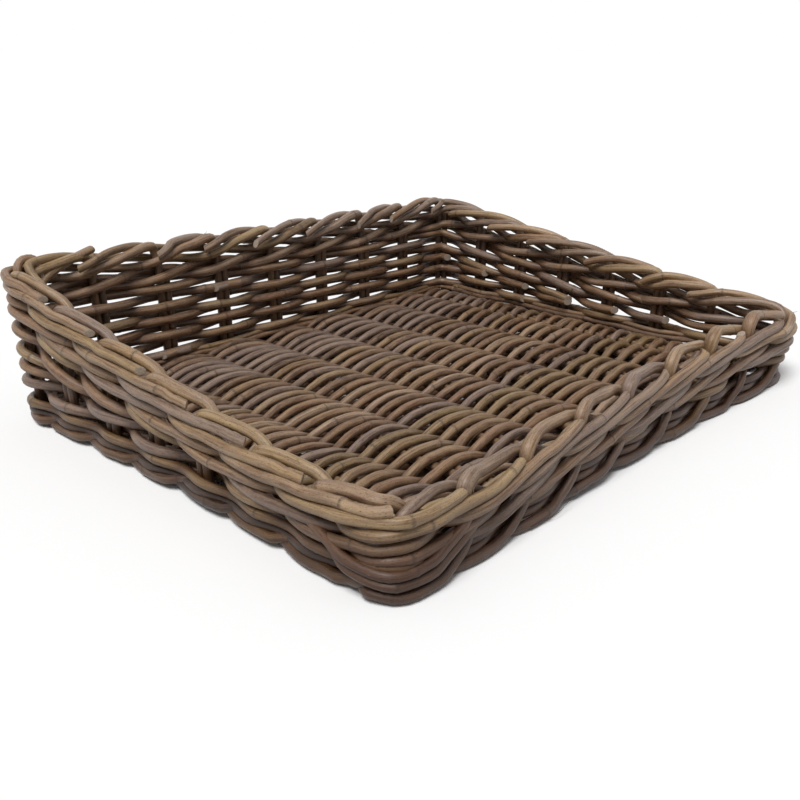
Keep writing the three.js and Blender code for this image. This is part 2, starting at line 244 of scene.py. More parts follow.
# How much painted shade darkens the weave where shade falls: inside the walls, between their rods, low
# down, at the front left corner and under the base. Each pair says where an effect starts and where it is
# full. FACE and EDGE are distances outward from the walls' middle, TOP depths below the border's, HEIGHT
# heights and the others places across or in depth, or away from the corner.
INSIDE_FACE = (3.0, -4.0)
INSIDE_TOP = (-12.0, 8.0)
INSIDE_EDGE = (-40.0, -16.0)
INSIDE_RIGHT = (120.0, 225.0)
CORE_FACE = (7.0, 2.0)
CORE_TOP = (4.0, 12.0)
OUTER_FACE = (-8.0, 2.0)
LOW_HEIGHT = (36.0, 6.0)
FRONT_DEPTH = (-150.0, -185.0)
FRONT_HEIGHT = (40.0, 16.0)
CORNER_REACH = (120.0, 30.0)
CORNER_HEIGHT = (50.0, 36.0)
DEEP_FACE = (9.5, 5.0)
DEEP_EDGE = (-4.0, 1.0)
DEEP_HEIGHT = (27.0, 15.0)
UNDER_HEIGHT = (BASE_HEIGHT + 6.0, BASE_HEIGHT - 0.5)
BASE_EDGE = (-8.0, -16.0)
FAR_BASE = (-80.0, 220.0)
# How strong each painted shade is.
INSIDE_PAINTED_SHADE = 0.05
RIGHT_PAINTED_SHADE = 0.2
CORE_PAINTED_SHADE = 0.8
LOW_PAINTED_SHADE = 0.72
FRONT_PAINTED_SHADE = 0.4
CORNER_PAINTED_SHADE = 0.95
DEEP_PAINTED_SHADE = 0.5
BASE_PAINTED_SHADE = 0.95
FAR_PAINTED_SHADE = 0.25
# The places that nearest_place tries, the height of their plan, and the points taken at once.
PLACES = 720
PLAN_HEIGHT = 40.0
CHUNK = 20000


def nearest_place(points):
    """The place round the basket, counted in stakes, that lies nearest to each point."""
    places = np.linspace(0, STAKES, PLACES + 1)[:-1]
    plan = wall_frame(places, PLAN_HEIGHT)[0][:, :2]
    found = np.zeros(len(points))
    for start in range(0, len(points), CHUNK):
        chunk = points[start:start + CHUNK, :2]
        distance = ((chunk[:, None, :] - plan[None, :, :]) ** 2).sum(axis=2)
        found[start:start + CHUNK] = places[distance.argmin(axis=1)]
    return found


def painted_shade(points):
    """How much painted shade a point gets: one deep inside the weave, zero on the border."""
    x, y, z = points.T
    place = nearest_place(points)
    surface, out = wall_frame(place, z)
    outward = ((points - surface) * out).sum(axis=1)
    below = rim_height(place) - z
    outer = smoothstep(*OUTER_FACE, outward)

    inside = smoothstep(*INSIDE_FACE, outward) * smoothstep(*INSIDE_TOP, below)
    inside = inside * smoothstep(*INSIDE_EDGE, outward)
    inside = inside * (INSIDE_PAINTED_SHADE + RIGHT_PAINTED_SHADE * smoothstep(*INSIDE_RIGHT, x))
    core = smoothstep(*CORE_FACE, np.abs(outward)) * smoothstep(*CORE_TOP, below)

    base = np.maximum(smoothstep(*UNDER_HEIGHT, z), FAR_PAINTED_SHADE * smoothstep(*FAR_BASE, x))
    base = base * smoothstep(*BASE_EDGE, outward)

    low = smoothstep(*LOW_HEIGHT, z) * outer
    front = smoothstep(*FRONT_DEPTH, y) * smoothstep(*FRONT_HEIGHT, z)
    corner = smoothstep(*CORNER_REACH, np.hypot(x + HALF_WIDTH, y + HALF_DEPTH))
    corner = corner * smoothstep(*CORNER_HEIGHT, z) * outer
    deep = smoothstep(*DEEP_FACE, outward) * smoothstep(*DEEP_HEIGHT, z) * smoothstep(*DEEP_EDGE, outward)
    low = low * (1 + FRONT_PAINTED_SHADE * front) + CORNER_PAINTED_SHADE * corner + DEEP_PAINTED_SHADE * deep
    return np.clip(inside + CORE_PAINTED_SHADE * core + LOW_PAINTED_SHADE * low + BASE_PAINTED_SHADE * base, 0, 1)


class Nodes:
    """Short ways to add shader nodes to one tree."""

    def __init__(self, tree):
        self.tree = tree

    def add(self, kind, **values):
        made = self.tree.nodes.new(kind)
        for key, value in values.items():
            setattr(made, key, value)
        return made

    def feed(self, socket, value):
        """Links a socket to another's output, or gives it a number or a colour."""
        if isinstance(value, (int, float)):
            socket.default_value = value
        elif isinstance(value, tuple):
            socket.default_value = (*value, 1.0)
        else:
            self.tree.links.new(value, socket)

    def attribute(self, label):
        return self.add("ShaderNodeAttribute", attribute_name=label).outputs

    def math(self, operation, a, b, clamp=False):
        made = self.add("ShaderNodeMath", operation=operation, use_clamp=clamp)
        self.feed(made.inputs[0], a)
        self.feed(made.inputs[1], b)
        return made.outputs[0]

    def times(self, a, b):
        return self.math("MULTIPLY", a, b)

    def plus(self, a, b, clamp=False):
        return self.math("ADD", a, b, clamp)

    def around_zero(self, value, size):
        """A value from zero to one, moved to lie round zero and scaled."""
        return self.times(self.math("SUBTRACT", value, 0.5), size)

    def stretch(self, vector, factors):
        made = self.add("ShaderNodeVectorMath", operation="MULTIPLY")
        self.feed(made.inputs[0], vector)
        made.inputs[1].default_value = factors
        return made.outputs[0]

    def noise(self, vector, detail, roughness):
        made = self.add("ShaderNodeTexNoise")
        made.inputs["Scale"].default_value = 1.0
        made.inputs["Detail"].default_value = detail
        made.inputs["Roughness"].default_value = roughness
        self.feed(made.inputs["Vector"], vector)
        return made.outputs[0]

    def remap(self, value, low, high, to_low=0.0, to_high=1.0):
        made = self.add("ShaderNodeMapRange", interpolation_type="SMOOTHSTEP")
        for index, number in enumerate((value, low, high, to_low, to_high)):
            self.feed(made.inputs[index], number)
        return made.outputs[0]

    def blend(self, kind, factor, a, b):
        made = self.add("ShaderNodeMix", data_type="RGBA", blend_type=kind)
        for index, value in ((0, factor), (6, a), (7, b)):
            self.feed(made.inputs[index], value)
        return made.outputs[2]

    def seen_directly(self):
        """One for camera, glossy and transmission rays, and zero for the light thrown on others."""
        rays = self.add("ShaderNodeLightPath").outputs
        shiny = self.math("MAXIMUM", rays["Is Glossy Ray"], rays["Is Transmission Ray"])
        return self.math("MAXIMUM", rays["Is Camera Ray"], shiny)


# How far the colours are spread, and the tint that brings their middle back after that.
CONTRAST = 1.25
TINT = (1.4, 1.39, 1.36)
# The colour that painted shade multiplies the cane by.
PAINTED_SHADE_TINT = (0.34, 0.25, 0.185)
# The colours that some whole rods lean to.
MAUVE = (0.245, 0.193, 0.175)
RED_BROWN = (0.235, 0.135, 0.078)
OLIVE = (0.33, 0.25, 0.13)
# Weathering and marks on every rod. Streaks, stains and grit multiply, pale fibres screen.
STREAKS = (0.46, 0.37, 0.3)
PALE_FIBRES = (0.62, 0.52, 0.42)
WEATHERED = (0.32, 0.237, 0.175)
STAINS = (0.45, 0.34, 0.26)
GRIT = (0.32, 0.24, 0.18)
SPECKS = (0.05, 0.034, 0.024)
KNOT_RINGS = (0.06, 0.037, 0.024)
# The cut ends.
PALE_PITH = (0.46, 0.385, 0.31)
DARK_PITH = (0.3, 0.235, 0.175)
# The shader's constant values. The bump's distance is in metres.
SPECULAR = 0.42
COAT = 0.1
COAT_ROUGHNESS = 0.28
BUMP_STRENGTH = 0.8
BUMP_DISTANCE = 0.0008


def cane_colour(nodes, colours, wear, grains, cane):
    """The colour of a cane from its tone, its weathering and its marks."""
    fibre, fine_fibre, blotch, patch, grit = grains
    tone = nodes.plus(nodes.attribute("tone")["Fac"], nodes.around_zero(blotch, 1.1))
    ramp = nodes.add("ShaderNodeValToRGB")
    nodes.feed(ramp.inputs[0], tone)
    stops = ramp.color_ramp.elements
    for stop, colour in ((stops[0], colours[0]), (stops[1], colours[-1])):
        stop.color = (*colour, 1)
    for i, colour in enumerate(colours[1:-1], start=1):
        stops.new(i / (len(colours) - 1)).color = (*colour, 1)
    colour = ramp.outputs[0]

    luck = nodes.attribute("luck")["Fac"]
    colour = nodes.blend("MIX", nodes.remap(luck, 0.68, 0.84, to_high=0.7), colour, MAUVE)
    colour = nodes.blend("MIX", nodes.remap(luck, 0.26, 0.1, to_high=0.45), colour, RED_BROWN)
    olive = nodes.times(nodes.remap(luck, 0.38, 0.46), nodes.remap(luck, 0.62, 0.54, to_high=0.5))
    colour = nodes.blend("MIX", olive, colour, OLIVE)

    for kind, value, low, high, share, tint in (
        ("MULTIPLY", fibre, 0.44, 0.62, 0.8, STREAKS),
        ("SCREEN", fine_fibre, 0.5, 0.7, 0.12, PALE_FIBRES),
        ("MIX", patch, 0.42, 0.66, wear, WEATHERED),
        ("MULTIPLY", patch, 0.42, 0.28, 0.5, STAINS),
        ("MULTIPLY", grit, 0.53, 0.66, 0.7, GRIT),
    ):
        amount = nodes.times(nodes.remap(value, low, high), share)
        colour = nodes.blend(kind, amount, colour, tint)

    speck = nodes.add("ShaderNodeTexVoronoi")
    nodes.feed(speck.inputs["Vector"], nodes.stretch(cane, (0.22, 0.5, 0.5)))
    speck.inputs["Scale"].default_value = 1.0
    dots = nodes.times(nodes.remap(speck.outputs["Distance"], 0.16, 0.1), nodes.remap(grit, 0.46, 0.56))
    colour = nodes.blend("MIX", nodes.times(dots, 0.75), colour, SPECKS)
    ring = nodes.times(nodes.attribute("knot")["Fac"], nodes.remap(grit, 0.3, 0.6, 0.45, 1.0))
    colour = nodes.blend("MIX", nodes.times(ring, 0.78), colour, KNOT_RINGS)

    contrast = nodes.add("ShaderNodeGamma")
    nodes.feed(contrast.inputs["Color"], colour)
    nodes.feed(contrast.inputs["Gamma"], CONTRAST)
    # Painted shade: the colour is multiplied darker where the painted shade attribute is high.
    painted_shade_amount = nodes.attribute("painted_shade")["Fac"]
    colour = nodes.blend("MULTIPLY", painted_shade_amount, contrast.outputs[0], PAINTED_SHADE_TINT)
    colour = nodes.blend("MULTIPLY", 1.0, colour, TINT)

    grain = nodes.noise(nodes.stretch(cane, (2.0, 2.0, 2.0)), 3.0, 0.55)
    pith = nodes.blend("MIX", nodes.remap(grain, 0.35, 0.65), PALE_PITH, DARK_PITH)
    # The cut ends get the painted shade too, at a little over half its strength.
    pith = nodes.blend("MULTIPLY", nodes.times(painted_shade_amount, 0.55), pith, PAINTED_SHADE_TINT)
    return nodes.blend("MIX", nodes.attribute("cut")["Fac"], colour, pith)


def new_material(name, wear, colours):
    """Weathered cane. The colours are spread over the rods; wear is how grey their weathered patches turn."""
    material = bpy.data.materials.new(name)
    material.use_nodes = True
    material.node_tree.nodes.clear()
    nodes = Nodes(material.node_tree)
    cane = nodes.attribute("cane")["Vector"]

    def grain(along, across, detail, roughness):
        """Noise drawn out along the cane, by its waves per millimetre along and across."""
        return nodes.noise(nodes.stretch(cane, (along, across, across)), detail, roughness)

    fibre = grain(0.02, 0.62, 6.0, 0.66)
    fine_fibre = grain(0.06, 2.2, 4.0, 0.65)
    blotch = grain(0.035, 0.16, 4.0, 0.6)
    patch = grain(0.13, 0.4, 5.0, 0.65)
    grit = grain(0.8, 1.6, 5.0, 0.7)

    shader = nodes.add("ShaderNodeBsdfPrincipled")
    colour = cane_colour(nodes, colours, wear, (fibre, fine_fibre, blotch, patch, grit), cane)
    nodes.feed(shader.inputs["Base Color"], colour)
    dullness = nodes.plus(nodes.remap(patch, 0.3, 0.7, 0.36, 0.56), nodes.around_zero(fibre, 0.3))
    dullness = nodes.plus(dullness, nodes.times(nodes.attribute("cut")["Fac"], 0.3), clamp=True)
    nodes.feed(shader.inputs["Roughness"], dullness)
    shader.inputs["Specular IOR Level"].default_value = SPECULAR
    shader.inputs["Coat Weight"].default_value = COAT
    shader.inputs["Coat Roughness"].default_value = COAT_ROUGHNESS

    relief = nodes.plus(nodes.times(fibre, 0.6), nodes.times(fine_fibre, 0.25))
    relief = nodes.plus(relief, nodes.times(grit, 0.25))
    bump = nodes.add("ShaderNodeBump")
    bump.inputs["Strength"].default_value = BUMP_STRENGTH
    bump.inputs["Distance"].default_value = BUMP_DISTANCE
    nodes.feed(bump.inputs["Height"], relief)
    nodes.feed(shader.inputs["Normal"], bump.outputs[0])
    output = nodes.add("ShaderNodeOutputMaterial")
    nodes.feed(output.inputs[0], shader.outputs[0])
    return material


# Each kind of cane: how grey its weathered patches turn, and its colours from dark by warm, tan and grey to
# pale.
CANES = {
    "stake_cane": (0.5, [
        (0.14, 0.083, 0.048), (0.23, 0.145, 0.088), (0.35, 0.25, 0.145),
        (0.3, 0.214, 0.15), (0.4, 0.295, 0.195)]),
    "base_cane": (0.45, [
        (0.12, 0.074, 0.046), (0.235, 0.15, 0.093), (0.29, 0.205, 0.12),
        (0.26, 0.192, 0.15), (0.36, 0.268, 0.195)]),
    "wall_cane": (0.45, [
        (0.12, 0.07, 0.042), (0.23, 0.14, 0.085), (0.3, 0.208, 0.128),
        (0.27, 0.193, 0.145), (0.35, 0.258, 0.18)]),
    # The foot's colours are darker than the wall's: painted shade low by the ground.
    "foot_cane": (0.25, [
        (0.085, 0.048, 0.028), (0.19, 0.106, 0.056), (0.24, 0.152, 0.088),
        (0.22, 0.155, 0.115), (0.3, 0.217, 0.155)]),
}
MATERIALS = {name: new_material(name, *look) for name, look in CANES.items()}


# A cane's own detail, from here on. Its section has SIDES points.
SIDES = 12
# Stations along it, by the bend in radians that earns one and the steps allowed between them.
FINE_STEP = 0.8
BEND_BLUR = 3
BEND_PER_STEP = 0.3
LONGEST_STEP = 4.5
SHORTEST_STEP = 1.1
# Knots, where a leaf once grew. Their swellings are given by size and reach.
FIRST_KNOT = (10, 150)
KNOTS_APART = (70, 210)
KNOT_MARGIN = 4
KNOT_REACH = 3.0
KNOT_SWELLS = [(0.28, 1.5), (0.1, 4.0)]
KNOT_RING = 0.9
# A stretch ringed by old leaf sheaths. Its density is in stations per millimetre.
RIB_PITCH = 2.1
RIB_DENSITY = 2.6
RIB_FILL = 0.85
RIB_SWELL = 0.16
RIB_HEIGHT = 0.13
RIB_SHADE = 0.5
# Slow waves in the girth, as shares of it and the run per radian.
GIRTH_WAVES = [(0.025, 31), (0.02, 11)]
OVAL = 0.035
OVAL_TURN = 60
# A cut end: its flat's share of the section, and how far the flat stands out.
CUT_SHARE = 0.86
CUT_RISE = 0.35
# How far apart the grain of different canes may lie.
GRAIN_SPREAD = 900
# Loose fibres: their number per station, their length in stations, their radius from root to tip.
FRAYS = 0.012
FRAY_LENGTH = (6, 16)
FRAY_MARGIN = 4
FRAY_RADIUS = (0.34, 0.12)
FRAY_START = 0.15
FRAY_PEEL = (0.8, 3.5)
FRAY_TURN = 0.5
FRAY_LOWEST = 0.5
FRAY_SIDES = 4


def along(line, way, places):
    """Points on a line at places that are measured as way is."""
    return np.stack([np.interp(places, way, line[:, k]) for k in range(3)], axis=1)


def knot_spots(length, plain):
    spots = []
    spot = rng.uniform(*FIRST_KNOT)
    while spot < length - KNOT_MARGIN and not plain:
        spots.append(spot)
        spot += rng.uniform(*KNOTS_APART)
    return spots


def spread_stations(path, fine, knots, ribs):
    """Stations along a path, closer together in tight bends, at knots and on ribs."""
    first = np.gradient(path, fine, axis=0)
    bend = np.linalg.norm(np.gradient(first, fine, axis=0), axis=1)
    window = 2 * BEND_BLUR + 1
    bend = np.convolve(np.pad(bend, BEND_BLUR, mode="edge"), np.ones(window) / window, mode="valid")
    density = np.clip(bend / BEND_PER_STEP, 1 / LONGEST_STEP, 1 / SHORTEST_STEP)
    for knot in knots:
        density = np.maximum(density, 1.0 * (np.abs(fine - knot) < KNOT_REACH))
    if ribs:
        density = np.maximum(density, RIB_DENSITY * (np.abs(fine - ribs[0]) < ribs[1]))
    measure = np.concatenate([[0.0], np.cumsum((density[1:] + density[:-1]) / 2 * np.diff(fine))])
    count = max(int(measure[-1]), 3)
    return np.interp(np.linspace(0, measure[-1], count), measure, fine)


def swollen(girth, stations, knots, ribs):
    """The girth with knots and ribs, and how dark a ring each station has."""
    ring = np.zeros(len(stations))
    for knot in knots:
        away = stations - knot
        for size, reach in KNOT_SWELLS:
            girth = girth + size * np.exp(-(away / reach) ** 2)
        ring = np.maximum(ring, np.exp(-(away / KNOT_RING) ** 2))
    if ribs:
        ribbed = np.exp(-((stations - ribs[0]) / (RIB_FILL * ribs[1])) ** 6)
        wave = np.sin(2 * math.pi * stations / RIB_PITCH)
        girth = girth + ribbed * (RIB_SWELL + RIB_HEIGHT * wave)
        ring = np.maximum(ring, RIB_SHADE * ribbed * np.maximum(-wave, 0))
    return girth, ring


def carry_section(tangent):
    """Two directions across a cane at each station, carried along it without twisting."""
    side = np.zeros_like(tangent)
    start = np.cross(tangent[0], [0.0, 0.0, 1.0])
    if np.linalg.norm(start) < 0.3:
        start = np.cross(tangent[0], [0.0, 1.0, 0.0])
    side[0] = start / np.linalg.norm(start)
    for i in range(1, len(tangent)):
        carried = side[i - 1] - tangent[i] * np.dot(side[i - 1], tangent[i])
        side[i] = carried / np.linalg.norm(carried)
    return side, np.cross(side, tangent)


def tube_faces(count, sides):
    faces = []
    for i in range(count - 1):
        here, there = i * sides, (i + 1) * sides
        for j in range(sides):
            k = (j + 1) % sides
            faces.append((here + j, there + j, there + k, here + k))
    return faces


class Piece:
    """The canes of one piece, gathered into one mesh."""

    def __init__(self, name, slot):
        self.name = name
        self.slot = slot
        self.points = []
        self.faces = []
        self.flat = []
        self.cane = []
        self.look = []
        self.count = 0

    def add(self, points, faces, cane, look, flat):
        self.points.append(points)
        self.faces.extend([tuple(int(i) + self.count for i in face) for face in faces])
        self.flat.extend([flat] * len(faces))
        self.cane.append(cane)
        self.look.append(look)
        self.count += len(points)

    def rod(self, line, radius, tone, tip=None, tail=None, ribs=None, sides=SIDES, plain=False, luck=None):
        """A cane along a smooth line. tip and tail say how far each end's cut slants. ribs gives
        the middle and the reach of a stretch that is ringed closely by old leaf sheaths."""
        line = np.asarray(line, float)
        steps = np.linalg.norm(np.diff(line, axis=0), axis=1)
        keep = np.concatenate([[True], steps > 1e-6])
        line = line[keep]
        radius = np.broadcast_to(radius, keep.shape)[keep]
        way = np.concatenate([[0.0], np.cumsum(np.linalg.norm(np.diff(line, axis=0), axis=1))])
        length = way[-1]
        knots = knot_spots(length, plain)
        fine = np.linspace(0, length, max(int(length / FINE_STEP), 4))
        path = along(line, way, fine)
        stations = spread_stations(path, fine, knots, ribs)
        centre = along(path, fine, stations)
        tangent = np.gradient(centre, stations, axis=0)
        tangent /= np.linalg.norm(tangent, axis=1)[:, None]

        girth, ring = swollen(np.interp(stations, way, radius), stations, knots, ribs)
        slow = rng.uniform(0, 6.3, 3)
        wobble = 1.0
        for (size, run), phase in zip(GIRTH_WAVES, slow):
            wobble = wobble + size * np.sin(stations / run + phase)
        girth = girth * wobble
        side, over = carry_section(tangent)
        angle = np.arange(sides) * 2 * math.pi / sides
        oval = 1 + OVAL * np.cos(2 * angle[None, :] + slow[2] + stations[:, None] / OVAL_TURN)
        around = np.cos(angle)[None, :, None] * side[:, None, :]
        around = around + np.sin(angle)[None, :, None] * over[:, None, :]
        shell = centre[:, None, :] + (girth[:, None] * oval)[..., None] * around
        for end, slant, sign in ((0, tip, -1), (-1, tail, 1)):
            if slant is not None:
                shell[end] += sign * tangent[end] * (slant * np.cos(angle))[:, None]

        offset = rng.uniform(0, GRAIN_SPREAD, 3)
        cane = np.zeros((len(stations), sides, 3))
        cane[..., 0] = stations[:, None] + offset[0]
        cane[..., 1] = (girth[:, None] * np.cos(angle)) + offset[1]
        cane[..., 2] = (girth[:, None] * np.sin(angle)) + offset[2]
        look = np.zeros((len(stations), sides, 4))
        look[..., 0] = tone
        look[..., 1] = ring[:, None]
        look[..., 3] = rng.uniform(0, 1) if luck is None else luck
        faces = tube_faces(len(stations), sides)
        self.add(shell.reshape(-1, 3), faces, cane.reshape(-1, 3), look.reshape(-1, 4), False)
        for end, sign in ((0, -1), (-1, 1)):
            self.cap(shell[end], sign, tangent[end], cane[end], tone, look[0, 0, 3])
        if not plain:
            self.fray(centre, side, over, girth, tone)

    def cap(self, edge, sign, tangent, cane, tone, luck):
        """The cut face at an end, with a narrow bevel."""
        sides = len(edge)
        middle = edge.mean(axis=0)
        rim = middle + (edge - middle) * CUT_SHARE + sign * tangent * CUT_RISE
        points = np.concatenate([edge, rim, [middle + sign * tangent * CUT_RISE]])
        faces = []
        for j in range(sides):
            k = (j + 1) % sides
            if sign > 0:
                faces.append((j, sides + j, sides + k, k))
                faces.append((sides + j, 2 * sides, sides + k))
            else:
                faces.append((j, k, sides + k, sides + j))
                faces.append((sides + j, sides + k, 2 * sides))
        look = np.zeros((len(points), 4))
        look[:, 0] = tone
        look[sides:, 2] = 1.0
        look[:, 3] = luck
        self.add(points, faces, np.concatenate([cane, cane, [cane.mean(axis=0)]]), look, True)

    def fray(self, centre, side, over, girth, tone):
        """Fine fibres that have come loose along a cane and peel away from it."""
        count = len(centre)
        for _ in range(rng.poisson(count * FRAYS)):
            length = int(rng.integers(*FRAY_LENGTH))
            if count < length + 3 * FRAY_MARGIN:
                return
            first = int(rng.integers(FRAY_MARGIN, count - length - FRAY_MARGIN))
            span = slice(first, first + length)
            t = np.linspace(0, 1, length)
            turn = rng.uniform(0, 2 * math.pi) + rng.uniform(-FRAY_TURN, FRAY_TURN) * t
            out = girth[span] + FRAY_START + rng.uniform(*FRAY_PEEL) * t ** 2
            around = np.cos(turn)[:, None] * side[span] + np.sin(turn)[:, None] * over[span]
            strand = centre[span] + out[:, None] * around
            strand[:, 2] = np.maximum(strand[:, 2], FRAY_LOWEST)
            self.rod(strand, np.linspace(*FRAY_RADIUS, length), tone, sides=FRAY_SIDES, plain=True)

    def finish(self, *replaced):
        """Makes the mesh, which stands for the CAD nodes named."""
        points = np.concatenate(self.points)
        look = np.concatenate(self.look)
        mesh = bpy.data.meshes.new(self.name)
        world_points = (points + [0, SHIFT_Y, 0]) * MM
        mesh.from_pydata(world_points.tolist(), [], self.faces)
        mesh.polygons.foreach_set("use_smooth", [not flat for flat in self.flat])
        attribute = mesh.attributes.new("cane", "FLOAT_VECTOR", "POINT")
        attribute.data.foreach_set("vector", np.concatenate(self.cane).astype(np.float32).ravel())
        # Each point carries its painted shade as an attribute.
        values = dict(zip(("tone", "knot", "cut", "luck"), look.T), painted_shade=painted_shade(points))
        for label, value in values.items():
            attribute = mesh.attributes.new(label, "FLOAT", "POINT")
            attribute.data.foreach_set("value", value.astype(np.float32))
        mesh.materials.append(MATERIALS[self.slot])
        mesh.validate()
        mesh.update()
        obj = bpy.data.objects.new(self.name, mesh)
        bpy.context.scene.collection.objects.link(obj)
        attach(obj, "root")
        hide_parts(*replaced)


# The path of a border rod from the top of its stake: the place in stakes, then the offset outward and
# the height from the border's middle line. It bends over the top beside its stake, dips behind and
# under the next one and runs outside while it rises. The heads go up to the third stake.
BORDER_HEADS = {
    "front": [
        (-0.04, 0.3, -14.0), (-0.09, 0.6, -9.0), (-0.16, 1.8, -2.4), (-0.19, 2.8, 4.0),
        (-0.17, 2.8, 9.6), (-0.03, 1.0, 13.0), (0.2, -1.4, 12.0), (0.56, -3.6, 9.6),
        (0.84, -5.8, 6.2), (1.1, -5.6, 0.6), (1.36, 0.6, -6.4), (1.62, 7.0, -7.8),
        (2.0, 8.9, -5.4), (2.3, 9.2, -3.0), (2.65, 9.1, -0.6), (3.0, 8.9, 1.4),
    ],
    "high": [
        (-0.02, 0.3, -14.0), (-0.01, 0.6, -8.0), (-0.01, 1.4, -2.0), (0.01, 1.8, 2.8),
        (0.1, 1.0, 6.4), (0.26, -2.0, 7.2), (0.5, -5.0, 4.8), (0.78, -6.3, 1.2),
        (1.0, -6.4, -2.4), (1.22, -4.2, -6.4), (1.45, 2.2, -8.4), (1.68, 7.4, -7.8),
        (2.0, 8.9, -5.2), (2.3, 9.2, -2.2), (2.65, 9.0, 1.0), (3.0, 8.2, 3.6),
    ],
    "left": [
        (-0.02, 0.3, -14.0), (-0.01, 0.6, -8.0), (0.0, 0.9, -4.4), (0.04, 1.3, 0.6),
        (0.15, 1.4, 4.8), (0.32, 0.8, 7.6), (0.54, -0.6, 9.0), (0.82, -2.8, 8.6),
        (1.02, -5.6, 6.0), (1.22, -5.2, -1.0), (1.45, 1.4, -7.0), (1.68, 7.0, -7.6),
        (2.0, 8.9, -5.6), (2.3, 9.3, -3.0), (2.65, 9.0, -0.4), (3.0, 8.4, 1.8),
    ],
}
# The rest of the path. On the high walls it crosses the top and ends inside. On the front it ends on
# top, beside the next bend, and on the left it ends outside, below that bend.
BORDER_TAILS = {
    "front": [
        (3.18, 8.8, 2.4), (3.36, 8.4, 3.6), (3.46, 8.0, 4.3), (3.54, 7.5, 5.0),
        (3.61, 7.0, 5.6), (3.67, 6.5, 6.2), (3.72, 6.0, 6.8),
    ],
    "high": [
        (3.18, 6.6, 6.0), (3.38, 3.2, 8.4), (3.62, -1.4, 9.4), (3.86, -5.6, 8.4),
        (4.1, -8.8, 6.0), (4.35, -10.8, 3.0), (4.6, -11.8, 0.2),
    ],
    "left": [
        (3.18, 8.2, 3.3), (3.36, 7.8, 4.9), (3.52, 7.2, 6.0), (3.66, 6.6, 6.9),
        (3.78, 6.1, 7.6), (3.88, 5.7, 8.1), (3.97, 5.4, 8.4),
    ],
}
HEAD_KEYS = len(BORDER_HEADS["front"])
BORDER_KEYS = HEAD_KEYS + len(BORDER_TAILS["front"])
KEY_POINTS = 10
# The first border rod, at the front left corner, starts as on the left and goes on as on the front.
CORNER_HEAD = BORDER_HEADS["left"][:6] + [(0.48, -2.0, 8.6), (0.68, -4.4, 7.6)] + BORDER_HEADS["front"][8:]
# From this key point on the rods wander.
FIRM_KEYS = 6
PLACE_WANDER = 0.05
HEAD_WANDER = 0.4
TAIL_WANDER = 0.12
# Where a rod's tail lies, and over how many stakes the pair's rods come together.
TAIL_PLACE = 3.5
PAIR_FADE = 0.12
# Towards the right end of the front, between these places, the tails end sooner and blunter and the
# bends stand higher.
RIGHT_END = (3.5, 6.0)
SOONER_TAIL = np.array([(-0.03, 0.0, 0.3), (-0.07, 0.1, 0.6), (-0.12, 0.2, 1.0), (-0.17, 0.3, 1.5)])
HIGHER_BEND = np.array([1.0, 2.6, 3.2, 2.0])
# How much thicker the first bends are, least at the corner where the border starts.
KNOB_SIZES = {"front": 1.0, "high": 0.3, "left": 0.1}
CORNER_KNOB = 0.1
# The knob and the full stretch after it, as shares of the girth, placed in points along the rod. At the
# right end of the front the tail doesn't taper.
KNOB_SWELL = 0.24
KNOB_POINT = 40
KNOB_REACH = 13
FULL_SWELL = 0.14
FULL_ENDS = (115, 80)
TAIL_TAPER = 0.13
TAIL_TAPER_LOSS = 0.17
TAPER_POINTS = (90, 200)
# How fast the girth may grow from the stake's, per point.
GIRTH_GROWTH = 0.06
# The tone and the kind of colour of the border rods that stand out, by stake.
BORDER_TONES = {
    0: (0.35, 0.85),
    1: (0.55, 0.8),
    2: (0.7, 0.24),
    3: (0.8, 0.72),
    26: (0.85, 0.6),
    27: (0.92, 0.5),
    28: (0.98, 0.5),
    29: (0.8, 0.35),
}


def border_kind(place):
    place = place % STAKES
    if place < SPANS_ACROSS:
        return "front"
    return "high" if place < BACK_LEFT else "left"


def to_the_right(place):
    """How near a place is to the right end of the front."""
    return smoothstep(*RIGHT_END, place % STAKES) if border_kind(place) == "front" else 0.0


def border_line(stake, lead):
    """The border rod of a stake, starting lead beside the stake's middle."""
    tail_kind = border_kind(stake + TAIL_PLACE)
    head = CORNER_HEAD if stake % STAKES == 0 else BORDER_HEADS[border_kind(stake)]
    path = np.array(head + BORDER_TAILS[tail_kind])
    fade = 1 - smoothstep(0.0, PAIR_FADE, path[:, 0])
    path[FIRM_KEYS:, 0] += rng.uniform(-PLACE_WANDER, PLACE_WANDER)
    keys = np.arange(FIRM_KEYS, len(path) - 1)
    wander = np.where(keys < HEAD_KEYS - 1, HEAD_WANDER, TAIL_WANDER)
    path[FIRM_KEYS:-1, 1] += rng.normal(0, 1, len(wander)) * wander
    path[FIRM_KEYS:-1, 2] += rng.normal(0, 1, len(wander)) * wander
    path[-4:] += to_the_right(stake + TAIL_PLACE) * SOONER_TAIL
    path[3:7, 2] += to_the_right(stake) * HIGHER_BEND
    if tail_kind == "left":
        path[-3:, 0] += rng.uniform(-0.08, 0.02)
        path[-4:, 2] -= rng.uniform(0.0, 2.0)
    if tail_kind == "high":
        kept = rng.uniform(0.35, 1.1)
        path[-3:, 0] = path[-4, 0] + (path[-3:, 0] - path[-4, 0]) * kept
        path[-1, 2] += rng.uniform(-2, 1)
    path[:, 0] += stake
    return through(on_rim(path) + stake_side(stake) * (lead * fade)[:, None], KEY_POINTS)


